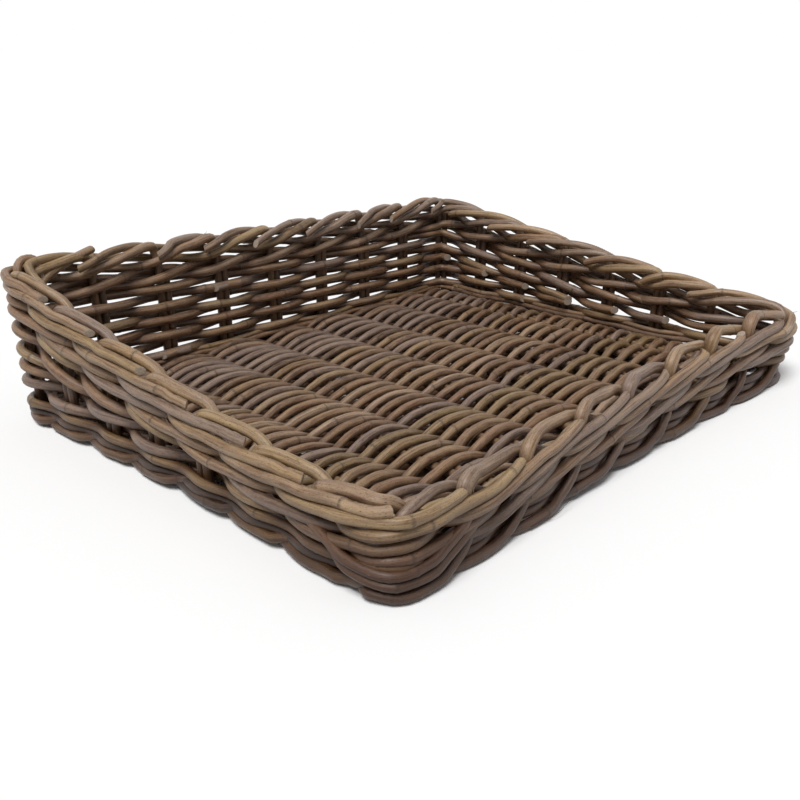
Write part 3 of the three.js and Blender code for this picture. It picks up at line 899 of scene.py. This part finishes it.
def border_girth(start, stake):
    """The cane is pressed thin in the weave, full in the border and fullest in its first bend. The
    first points, as many as start says, are the stake's."""
    size = BORDER_RADIUS * rng.uniform(0.88, 1.08)
    knob_size = CORNER_KNOB if stake % STAKES == 0 else KNOB_SIZES[border_kind(stake)]
    point = np.arange((BORDER_KEYS - 1) * KEY_POINTS + 1)
    knob = KNOB_SWELL * np.exp(-((point - KNOB_POINT) / KNOB_REACH) ** 2)
    knob = knob + FULL_SWELL * smoothstep(*FULL_ENDS, point)
    girth = np.minimum(size * (1 + knob_size * knob), STAKE_RADIUS + point * GIRTH_GROWTH)
    taper = TAIL_TAPER - TAIL_TAPER_LOSS * to_the_right(stake + TAIL_PLACE)
    girth = girth * (1 - taper * smoothstep(*TAPER_POINTS, point))
    return np.concatenate([np.full(start, STAKE_RADIUS), girth])


def border_look(stake, ribs):
    """A border rod's tone, kind of colour and ribs. The rods that stand out have no ribs."""
    tone, luck = BORDER_TONES.get(stake, (tone_near(0.6, 0.26), None))
    return tone, luck, ribs if luck is None else None


UPRIGHT_POINTS = 14


def upright(stake, lead, from_height, to_height):
    point, out = wall_frame(
        np.full(UPRIGHT_POINTS, float(stake)), np.linspace(from_height, to_height, UPRIGHT_POINTS))
    lean = waver(np.linspace(0, 2, UPRIGHT_POINTS) + stake, 0.35)
    return point + stake_side(stake) * lead + out * lean[:, None]


# The ribbed stretch of the border rod that starts at the front right corner.
CORNER_RIBS = (185, 34)


def stake_rods(piece, stake):
    """Two uprights from the foot. The first goes on as the border rod, the other is cut below it."""
    top = float(rim_height(stake))
    rise = upright(stake, PAIR_HALF, STAKE_FOOT, top - BORDER_START)
    line = np.concatenate([rise, border_line(stake, PAIR_HALF)])
    ribs = (top + rng.uniform(60, 200), rng.uniform(10, 22)) if rng.uniform() < 0.15 else None
    tone, luck, ribs = border_look(stake, ribs)
    if stake == SPANS_ACROSS:
        ribs = (top + CORNER_RIBS[0], CORNER_RIBS[1])
    piece.rod(line, border_girth(len(rise), stake), tone, tip=0.0, tail=2.4, ribs=ribs, luck=luck)
    short = upright(stake, -PAIR_HALF, STAKE_FOOT, top - rng.uniform(7, 11))
    piece.rod(short, STAKE_RADIUS, tone_near(0.35), tip=0.0, tail=1.0)


# Two ends at the far left corner, as paths on the border: a small loop and one that sticks up.
CORNER_ENDS = [
    [(23.02, 0.5, -5.0), (23.0, 0.5, 2.0), (22.96, 0.5, 8.0), (22.89, 0.0, 11.0), (22.8, -1.0, 11.0),
     (22.76, -2.5, 8.0), (22.75, -4.5, 2.0), (22.75, -6.0, -4.0)],
    [(22.78, -8.0, -7.0), (22.66, -6.0, -2.0), (22.44, -3.8, 3.5), (22.22, -1.8, 8.0), (22.0, 0.0, 11.5)],
]
CORNER_END_RADIUS = 3.2
CORNER_END_TONE = 0.7

for i, stake in enumerate((0, SPANS_ACROSS, BACK_RIGHT, BACK_LEFT), start=1):
    piece = Piece(f"cane_corner_stake_{i}", "stake_cane")
    stake_rods(piece, stake)
    if stake == BACK_LEFT:
        # These draw nothing from the sequence that the other canes use.
        drawn = rng.bit_generator.state
        for path in CORNER_ENDS:
            piece.rod(through(on_rim(path), 8), CORNER_END_RADIUS, CORNER_END_TONE, tip=0.0, tail=1.5)
        rng.bit_generator.state = drawn
    piece.finish(f"corner_stake_{i}")
for label, first in (("right", SPANS_ACROSS), ("left", BACK_LEFT)):
    for i in range(1, SPANS_ALONG):
        piece = Piece(f"cane_side_stake_{label}_{i}", "stake_cane")
        stake_rods(piece, first + i)
        piece.finish(f"side_stake_{label}_{i}")


# A long rod's bend between the base and a wall.
FOOT_TURN = 7.0
FOOT_TURN_POINTS = 6


def long_rod(front, back, lead, tail_at_front):
    """A rod up the front wall, across the base and up the back wall, in order from its border end."""
    ends = []
    for stake, side in ((front, lead), (back, -lead)):
        foot, out = wall_frame(float(stake), BASE_HEIGHT + FOOT_TURN)
        quarter = np.linspace(math.pi / 2, 0, FOOT_TURN_POINTS + 1)[:-1]
        curve = np.array([
            foot - out * FOOT_TURN * (1 - math.sin(a)) - np.array([0, 0, FOOT_TURN * math.cos(a)])
            for a in quarter[::-1]
        ])
        rise = upright(stake, 0.0, BASE_HEIGHT + FOOT_TURN, float(rim_height(stake)) - BORDER_START)
        beside = stake_side(stake) * side * PAIR_HALF
        ends.append((stake, side * PAIR_HALF, curve + beside, rise + beside))
    if not tail_at_front:
        ends.reverse()
    (stake, side, bottom, top), (_, _, far_bottom, far_top) = ends
    tail = border_line(stake, side)
    line = np.concatenate([tail[::-1], top[::-1], bottom[::-1], far_bottom, far_top])
    girth = np.full(len(line), STAKE_RADIUS)
    girth[:len(tail)] = border_girth(0, stake)[::-1]
    return line, girth


for i in range(1, SPANS_ACROSS):
    piece = Piece(f"cane_long_stake_{i}", "stake_cane")
    for lead, tail_at_front in ((1, True), (-1, False)):
        line, girth = long_rod(i, BACK_LEFT - i, lead, tail_at_front)
        ribs = (rng.uniform(60, 280), rng.uniform(10, 20)) if rng.uniform() < 0.2 else None
        tone, luck, ribs = border_look(i if tail_at_front else BACK_LEFT - i, ribs)
        piece.rod(line, girth, tone, tip=2.4, tail=0.8, ribs=ribs, luck=luck)
    piece.finish(f"long_stake_{i}")

# The outermost sticks of the base.
EDGE_STICK = 209.8
EDGE_STICK_HALF = 172
EDGE_STICK_POINTS = 40

for label, x in (("left", -EDGE_STICK), ("right", EDGE_STICK)):
    piece = Piece(f"cane_edge_stick_{label}", "stake_cane")
    for lead in (-1, 1):
        y = np.linspace(-EDGE_STICK_HALF, EDGE_STICK_HALF, EDGE_STICK_POINTS)
        line = np.stack([np.full_like(y, x + lead * STAKE_RADIUS), y, np.full_like(y, BASE_HEIGHT)], axis=1)
        piece.rod(line, STAKE_RADIUS, tone_near(0.4), tip=0.5, tail=0.5)
    piece.finish(f"edge_stick_{label}")


# The wall rows. The first goes all round, and each of the others ends this many stakes past the back
# corners. Its cane is pressed into the stakes, swings further outside than inside, draws in at its
# ends, and on the right and at the back lies lower outside than inside, elsewhere higher.
ROW_ENDS_RIGHT = [3, 2, 1, 0, 3, 4, 5, 6]
ROW_ENDS_LEFT = [3, 0, 1, 0, 1, 2, 3, 4]
ROW_OVERHANG = 0.25
PRESS = 0.7
OUTER_SWING = 0.9
END_DRAW = 3.2
END_REACH = 0.3
ROW_TILT = 0.9
POINTS_PER_STAKE = 24
# A row is made of canes up to so many stakes long. A new one starts this far before the stake where
# the old one ends, on the inside, and the old one runs as far past it.
LONGEST_CANE = 19
LONGEST_FIRST_CANE = 13
CANE_OVERLAP = 0.24
# The other rows take over a row's room from this far before its end to this far past it, in stakes.
ROW_FADE = (0.35, 0.65)


def swing(place, row):
    """The weave's swing from outside to inside, one stake after another."""
    return np.tanh(np.cos(math.pi * (place + row))) / math.tanh(1.0)


def weave_rod(piece, start, stop, height_at, row, radius, tone):
    count = max(int((stop - start) * POINTS_PER_STAKE), 12)
    place = np.linspace(start, stop, count)
    wave = swing(place, row)
    ends = np.maximum(
        smoothstep(start + END_REACH, start, place), smoothstep(stop - END_REACH, stop, place))
    offset = (STAKE_RADIUS + radius - PRESS) * wave + OUTER_SWING * np.maximum(wave, 0) ** 2
    offset = offset + waver(place, 0.3) - END_DRAW * ends
    high_wall = np.minimum(place % STAKES - SPANS_ACROSS, BACK_LEFT - place % STAKES)
    height = height_at(place) + waver(place, 0.6) - ROW_TILT * wave * np.tanh(2 * high_wall)
    line = from_wall(place, height, offset)
    piece.rod(line, radius * (1 + waver(place, 0.04)), tone, tip=2.4, tail=2.4)


def inside_stakes(start, stop, row):
    """The stakes that a row passes on the inside."""
    return [s for s in range(math.ceil(start), math.floor(stop) + 1) if (s + row) % 2 == 1]


def pieced_row(piece, start, stop, height_at, row, mood, longest=LONGEST_CANE):
    """A row made of several canes, each new one starting beside the old one's end, inside."""
    here = start
    while here < stop - 0.5:
        chances = [s for s in inside_stakes(here + 3, stop - 2, row) if s - here <= longest]
        if chances and stop - here > longest * 0.75:
            seam = int(rng.choice(chances[-3:]))
            end = seam + CANE_OVERLAP
            following = seam - CANE_OVERLAP
        else:
            end = stop
            following = stop
        radius = WALL_RADIUS * rng.uniform(0.92, 1.06)
        weave_rod(piece, here, end, height_at, row, radius, tone_near(mood, 0.24))
        here = following


def first_row(place):
    """The lowest row lies a little lower along the front, where the wall is low."""
    depth = wall_frame(place, 0.0)[0][..., 1]
    return FIRST_ROW - FRONT_DROP * smoothstep(-110.0, -170.0, depth) + 0.3 * bumps(place, SAGS[:CORNER_SAGS])


def rim_row(place):
    return rim_height(place) - RIM_DROP - ROW_PITCH / 2 - 0.15 * bumps(place, SAGS[:CORNER_SAGS])


def shared_height(place, row):
    """The rows that pass a stake share out the room between the first row and the rim rows."""
    place = np.asarray(place, float)
    on_right = np.maximum(BACK_RIGHT - place, 0)
    on_left = np.maximum(place - BACK_LEFT, 0)
    passing = np.zeros_like(place)
    below = np.zeros_like(place)
    for i, (end_right, end_left) in enumerate(zip(ROW_ENDS_RIGHT, ROW_ENDS_LEFT)):
        alive = 1 - smoothstep(end_right - ROW_FADE[0], end_right + ROW_FADE[1], on_right)
        alive = alive * (1 - smoothstep(end_left - ROW_FADE[0], end_left + ROW_FADE[1], on_left))
        passing = passing + alive
        if i < row - 1:
            below = below + alive
    lowest = first_row(place)
    room = rim_row(place) - ROW_PITCH / 2 - lowest
    return lowest + room * (below + 1) / (passing + 1)


# Thin canes low on the inside of the walls, where the base meets them: their height, their depth inside
# the walls' middle, how far they swing round the stakes, and the places where one ends and one starts.
THIN_ROWS = [
    (20.4, 6.2, 0.3, (0.6, 7.7, 14.6, 22.7, 30.6)),
    (24.2, 4.2, 1.8, (8.3, 14.5, 22.6)),
]
FEWER_POINTS_PER_STAKE = 20


def between(seams):
    """The stretches from one seam to the next."""
    return zip(seams[:-1], seams[1:])


def evenly(low, high):
    return np.linspace(low, high, int((high - low) * FEWER_POINTS_PER_STAKE))


def thin_row(piece, height, depth, size, seams):
    for low, high in between(seams):
        place = evenly(low, high)
        wave = -np.cos(math.pi * place)
        rise = height - FRONT_DROP + first_row(place) - FIRST_ROW + 0.5 * wave + waver(place, 0.7)
        offset = -depth + size * np.minimum(wave, 0.4) + waver(place, 0.3)
        radius = THIN_RADIUS * rng.uniform(0.9, 1.1)
        piece.rod(from_wall(place, rise, offset), radius, tone_near(0.35, 0.2), tip=0.8, tail=0.8)


piece = Piece("cane_wall_weaver_1", "wall_cane")
pieced_row(piece, 1 - ROW_OVERHANG, 1 + STAKES + ROW_OVERHANG, first_row, 0, 0.45, LONGEST_FIRST_CANE)
for thin in THIN_ROWS:
    thin_row(piece, *thin)
piece.finish("wall_weaver_1")
for row, (end_right, end_left) in enumerate(zip(ROW_ENDS_RIGHT, ROW_ENDS_LEFT), start=1):
    piece = Piece(f"cane_wall_weaver_{row + 1}", "wall_cane")
    start = BACK_RIGHT - end_right - ROW_OVERHANG
    stop = BACK_LEFT + end_left + ROW_OVERHANG
    pieced_row(piece, start, stop, lambda place: shared_height(place, row), row, 0.5)
    piece.finish(f"wall_weaver_{row + 1}")


# The wale under the border: three rods that each pass outside two stakes and inside the next. The
# columns are stakes passed since coming out, swing from outside to inside and height.
WALE_STROKE = np.array([
    (0.0, 0.0, -4.4), (0.25, 0.74, -4.3), (0.5, 1.0, -3.9), (0.75, 1.05, -2.9), (1.0, 1.06, -0.8),
    (1.25, 1.05, 2.0), (1.5, 1.0, 3.4), (1.75, 0.74, 4.2), (2.0, 0.0, 4.4), (2.25, -0.74, 3.2),
    (2.5, -1.0, 0.4), (2.75, -0.74, -2.6), (3.0, 0.0, -4.4),
])
WALE_GAP = 0.2
WALE_DROP = 0.6
# The strokes after which a cane of the wale ends, and how far it runs past the start of the next.
WALE_SEAMS = (0, 3, 6, 8, 10)
WALE_OVERLAP = 0.45


def softened(values):
    return np.convolve(np.pad(values, 2, mode="edge"), np.ones(5) / 5, mode="valid")


def wale_line(start, stop, lag):
    place = np.linspace(start, stop, int((stop - start) * POINTS_PER_STAKE))
    passed = (place - lag + 0.5) % 3
    swung = softened(np.interp(passed, WALE_STROKE[:, 0], WALE_STROKE[:, 1]))
    rise = softened(np.interp(passed, WALE_STROKE[:, 0], WALE_STROKE[:, 2]))
    offset = (STAKE_RADIUS + RIM_RADIUS + WALE_GAP) * swung + waver(place, 0.3)
    return from_wall(place, rim_row(place) - WALE_DROP + rise + waver(place, 0.5), offset)


for number, lags in enumerate(((0, 1), (2,)), start=1):
    piece = Piece(f"cane_rim_wale_{number}", "wall_cane")
    for lag in lags:
        for low, high in between([lag - 0.8 + 3 * strokes for strokes in WALE_SEAMS]):
            line = wale_line(low, high + WALE_OVERLAP, lag)
            piece.rod(line, RIM_RADIUS * rng.uniform(0.9, 1.06), tone_near(0.6, 0.24), tip=2.2, tail=2.2)
    piece.finish(f"rim_wale_{number}")


# The foot. A short rod for every stake comes out from under the one before, runs round the outside
# of its stake on the ground and rises over the start of the next. Two rods lie deeper, above it.
FOOT_PATH = np.array([
    (-0.8, 0.0, 3.9), (-0.5, 4.6, 3.45), (-0.25, 8.0, 3.4), (0.0, 9.3, 3.5), (0.25, 9.5, 4.3),
    (0.42, 9.1, 6.6), (0.55, 8.4, 10.4), (0.68, 7.8, 15.0), (0.8, 6.4, 19.2), (0.92, 3.0, 22.6),
])
# Where the rods start to rise, and how steeply they do so on the sides and the back.
FOOT_RISE = 4
RISE_HEIGHT = 4.3
SIDE_STEEPNESS = 0.4
FOOT_LOWEST = 3.6
# The left foot rods lie further in, but the last one comes out again and stays lower, by key point.
LEFT_FOOT_DRAW = 2.2
LAST_FOOT_OUT = np.array([0.2, 0.8, 2.2, 3.4, 3.4, 2.6])
LAST_FOOT_DROP = np.array([0.2, 0.7, 1.6, 2.4, 2.6, 2.6])
FOOT_KEY_POINTS = 8
# Canes that cross the rows at the front left corner: the place in stakes, the offset and the height.
CORNER_CROSSINGS = [
    [(-1.2, 3.0, 33.0), (-0.9, 6.6, 30.5), (-0.6, 9.4, 26.5), (-0.3, 10.6, 21.5), (0.0, 10.6, 18.5),
     (0.25, 10.2, 19.5), (0.5, 9.4, 23.5), (0.75, 8.0, 28.5), (0.95, 4.5, 33.0)],
    [(-0.8, 3.0, 24.0), (-0.55, 7.4, 21.0), (-0.3, 10.0, 16.0), (0.0, 10.4, 12.5), (0.25, 10.6, 12.5),
     (0.5, 9.8, 16.5), (0.75, 8.6, 21.5), (0.95, 7.4, 26.0), (1.2, 4.0, 31.0)],
]


def foot_arc(stake):
    path = FOOT_PATH.copy()
    steep = 1.0 if stake % STAKES < SPANS_ACROSS else SIDE_STEEPNESS
    path[FOOT_RISE:, 2] = RISE_HEIGHT + (path[FOOT_RISE:, 2] - RISE_HEIGHT) * steep
    path[FOOT_RISE + 2:, 1] -= (1 - steep) * 5
    if stake % STAKES >= BACK_LEFT:
        path[1:, 1] -= LEFT_FOOT_DRAW
    path[1:, 0] += rng.uniform(-0.06, 0.06)
    if stake % STAKES == 0:
        path[:3, 0] *= 0.36
        path[3:, 0] += 0.1
    if stake == STAKES - 1:
        path[FOOT_RISE:, 1] += LAST_FOOT_OUT
        path[FOOT_RISE:, 2] -= LAST_FOOT_DROP
    path[2:-1, 1] += rng.normal(0, 0.35, len(path) - 3)
    path[:, 0] += stake
    path[:, 2] = np.maximum(path[:, 2] + bumps(path[:, 0], LIFTS), FOOT_LOWEST)
    return through(on_wall(path), FOOT_KEY_POINTS)


piece = Piece("cane_foot_wale_1", "foot_cane")
for stake in range(STAKES):
    arc = foot_arc(stake)
    piece.rod(arc, FOOT_RADIUS * rng.uniform(0.93, 1.07), tone_near(0.4, 0.24), tip=0.5, tail=0.5)
for path in CORNER_CROSSINGS:
    crossing = through(on_wall(path), FOOT_KEY_POINTS)
    piece.rod(crossing, FOOT_RADIUS * rng.uniform(0.95, 1.05), tone_near(0.5, 0.2), tip=0.5, tail=0.5)
piece.finish("foot_wale_1")

# The rods above the ground one bulge at the stakes and draw in behind the rising rods: how far out
# they lie, how far they swing, how far past the stake they bulge most, and their height.
FOOT_ROWS = [(3.8, 2.4, 0.0, 9.1), (4.5, 2.4, 0.13, 15.8)]
FOOT_SEAMS = (0.45, 7.4, 14.5, 22.45, 30.55)

for number, (depth, size, shift, height) in enumerate(FOOT_ROWS, start=2):
    piece = Piece(f"cane_foot_wale_{number}", "foot_cane")
    for low, high in between(FOOT_SEAMS):
        place = evenly(low, high)
        wave = np.cos(2 * math.pi * (place - shift))
        rise = height + bumps(place, LIFTS) * 0.8 + 0.5 * wave + waver(place, 0.35)
        line = from_wall(place, rise, depth + size * wave + waver(place, 0.25))
        # These deeper rods get darker tones: painted shade where they lie back behind the ground rods.
        piece.rod(line, FOOT_RADIUS * rng.uniform(0.95, 1.04), tone_near(0.3), tip=0.6, tail=0.6)
    piece.finish(f"foot_wale_{number}")


# The base: rows over and under the sticks, two to a cane. How they drift together is given as the run
# per radian, the turn from row to row and how far.
STICK_PITCH = 58.87
BASE_PITCH = 6.5
BASE_ROWS = 56
ROWS_PER_PIECE = 8
BASE_DRIFTS = [(47.0, 0.23, 1.8), (23.0, -0.37, 1.3), (14.0, 0.5, 0.6)]
BASE_OVERHANG = 0.58
BASE_POINTS = 270
# How sharply the rows swing between the sticks, and how fast that dies away past the last one.
BASE_SHARPNESS = 0.8
BASE_FALL = 2.4
# A turn bulges by this share of the pitch, on so many points.
TURN_BULGE = 0.55
TURN_POINTS = 7
MIDDLE_STICK = SPANS_ACROSS / 2


def stick_x(count):
    """The place across of the base's sticks, counted from the left edge stick."""
    middles = (np.clip(count, 1, SPANS_ACROSS - 1) - MIDDLE_STICK) * STICK_PITCH
    over = np.maximum(np.abs(count - MIDDLE_STICK) - (MIDDLE_STICK - 1), 0)
    return middles + np.sign(count - MIDDLE_STICK) * over * (EDGE_STICK - (MIDDLE_STICK - 1) * STICK_PITCH)


def base_run(row):
    """One row across all the sticks, from left to right, as points."""
    count = np.linspace(-BASE_OVERHANG, SPANS_ACROSS + BASE_OVERHANG, BASE_POINTS)
    x = stick_x(count)
    y = (row - (BASE_ROWS - 1) / 2) * BASE_PITCH + waver(count * 3.1, 0.6)
    for run, turn, size in BASE_DRIFTS:
        y = y + size * np.sin(x / run + turn * row)
    swung = np.tanh(BASE_SHARPNESS * np.cos(math.pi * (count + row)))
    lift = (STAKE_RADIUS + BASE_RADIUS + rng.uniform(-0.3, 0.4)) * swung / math.tanh(BASE_SHARPNESS)
    past = np.maximum(np.abs(count - MIDDLE_STICK) - MIDDLE_STICK, 0)
    lift = lift * np.cos(past * BASE_FALL)
    return np.stack([x, y, BASE_HEIGHT + lift + waver(count * 2.7, 0.25)], axis=1)


for number in range(BASE_ROWS // ROWS_PER_PIECE):
    piece = Piece(f"cane_base_weaver_{number + 1}", "base_cane")
    for row in range(number * ROWS_PER_PIECE, (number + 1) * ROWS_PER_PIECE, 2):
        first, second = base_run(row), base_run(row + 1)
        side = rng.choice([-1, 1])
        if side > 0:
            second = second[::-1]
        else:
            first = first[::-1]
        start, end = first[-1], second[0]
        bend = np.array([
            (start + end) / 2 - (end - start) / 2 * math.cos(a)
            + np.array([side * BASE_PITCH * TURN_BULGE * math.sin(a), 0, 0])
            for a in np.linspace(0, math.pi, TURN_POINTS + 2)[1:-1]
        ])
        line = np.concatenate([first, bend, second])
        radius = BASE_RADIUS * rng.uniform(0.9, 1.07)
        # The rows' tones run paler at the front and darker towards the back wall: painted shade.
        piece.rod(line, radius, tone_near(0.66 - 0.36 * row / BASE_ROWS, 0.34), tip=0.4, tail=0.4)
    piece.finish(f"base_weaver_{number + 1}")


# The floor and the light, from here on in metres. The camera sees a white floor and a white sky, but
# the light that they throw on the basket is a grey floor's and a dim sky's.
FLOOR_REACH = 30.0
FLOOR_DROP = 0.0004
FLOOR_GREY = (0.4, 0.4, 0.4)
WHITE = (1.0, 1.0, 1.0)
AMBIENT = 0.29
KEY_DIRECTION = (-0.85, -0.33, 1.7)
KEY_ENERGY = 2.6
KEY_ANGLE = math.radians(28)

corners = [(x * FLOOR_REACH, y * FLOOR_REACH, 0) for x, y in ((-1, -1), (1, -1), (1, 1), (-1, 1))]
floor_mesh = bpy.data.meshes.new("floor")
floor_mesh.from_pydata(corners, [], [(0, 1, 2, 3)])
floor = bpy.data.objects.new("floor", floor_mesh)
floor.location.z = -FLOOR_DROP
bpy.context.scene.collection.objects.link(floor)
floor_paint = bpy.data.materials.new("floor_paint")
floor_paint.use_nodes = True
floor_mesh.materials.append(floor_paint)
floor_shader = floor_paint.node_tree.nodes["Principled BSDF"]
floor_shader.inputs["Roughness"].default_value = 1.0
floor_shader.inputs["Specular IOR Level"].default_value = 0.0
floor_nodes = Nodes(floor_paint.node_tree)
paint = floor_nodes.blend("MIX", floor_nodes.seen_directly(), FLOOR_GREY, WHITE)
floor_nodes.feed(floor_shader.inputs["Base Color"], paint)

world = bpy.data.worlds.new("studio")
bpy.context.scene.world = world
world.use_nodes = True
background = world.node_tree.nodes["Background"]
background.inputs["Color"].default_value = (*WHITE, 1)
sky_nodes = Nodes(world.node_tree)
strength = sky_nodes.add("ShaderNodeMapRange")
strength.inputs["To Min"].default_value = AMBIENT
strength.inputs["To Max"].default_value = 1.0
sky_nodes.feed(strength.inputs["Value"], sky_nodes.seen_directly())
sky_nodes.feed(background.inputs["Strength"], strength.outputs[0])

lamp = bpy.data.lights.new("key", "SUN")
lamp.energy = KEY_ENERGY
lamp.angle = KEY_ANGLE
key = bpy.data.objects.new("key", lamp)
key.rotation_mode = "QUATERNION"
key.rotation_quaternion = Vector(KEY_DIRECTION).to_track_quat("Z", "Y")
bpy.context.scene.collection.objects.link(key)

# The camera, fitted to the photograph's rim and foot corners. The lens and its sensor's width are in
# millimetres.
CAMERA_PLACE = Vector((-0.53743, -0.47243, 0.27235))
CAMERA_TARGET = Vector((-0.28098, -0.23427, 0.13669))
CAMERA_ROLL = 0.003
CAMERA_LENS = 41.248
CAMERA_SENSOR = 36.0
ahead = (CAMERA_TARGET - CAMERA_PLACE).normalized()
level = ahead.cross(Vector((0, 0, 1))).normalized()
upward = level.cross(ahead)
right = level * math.cos(CAMERA_ROLL) + upward * math.sin(CAMERA_ROLL)
above = upward * math.cos(CAMERA_ROLL) - level * math.sin(CAMERA_ROLL)
lens = bpy.data.cameras.new("camera")
lens.sensor_width = CAMERA_SENSOR
lens.lens = CAMERA_LENS
lens.clip_start = 0.01
camera = bpy.data.objects.new("camera", lens)
camera.matrix_world = Matrix((
    (right.x, above.x, -ahead.x, CAMERA_PLACE.x),
    (right.y, above.y, -ahead.y, CAMERA_PLACE.y),
    (right.z, above.z, -ahead.z, CAMERA_PLACE.z),
    (0, 0, 0, 1),
))
bpy.context.scene.collection.objects.link(camera)
bpy.context.scene.camera = camera
bpy.context.scene.view_settings.view_transform = "Standard"
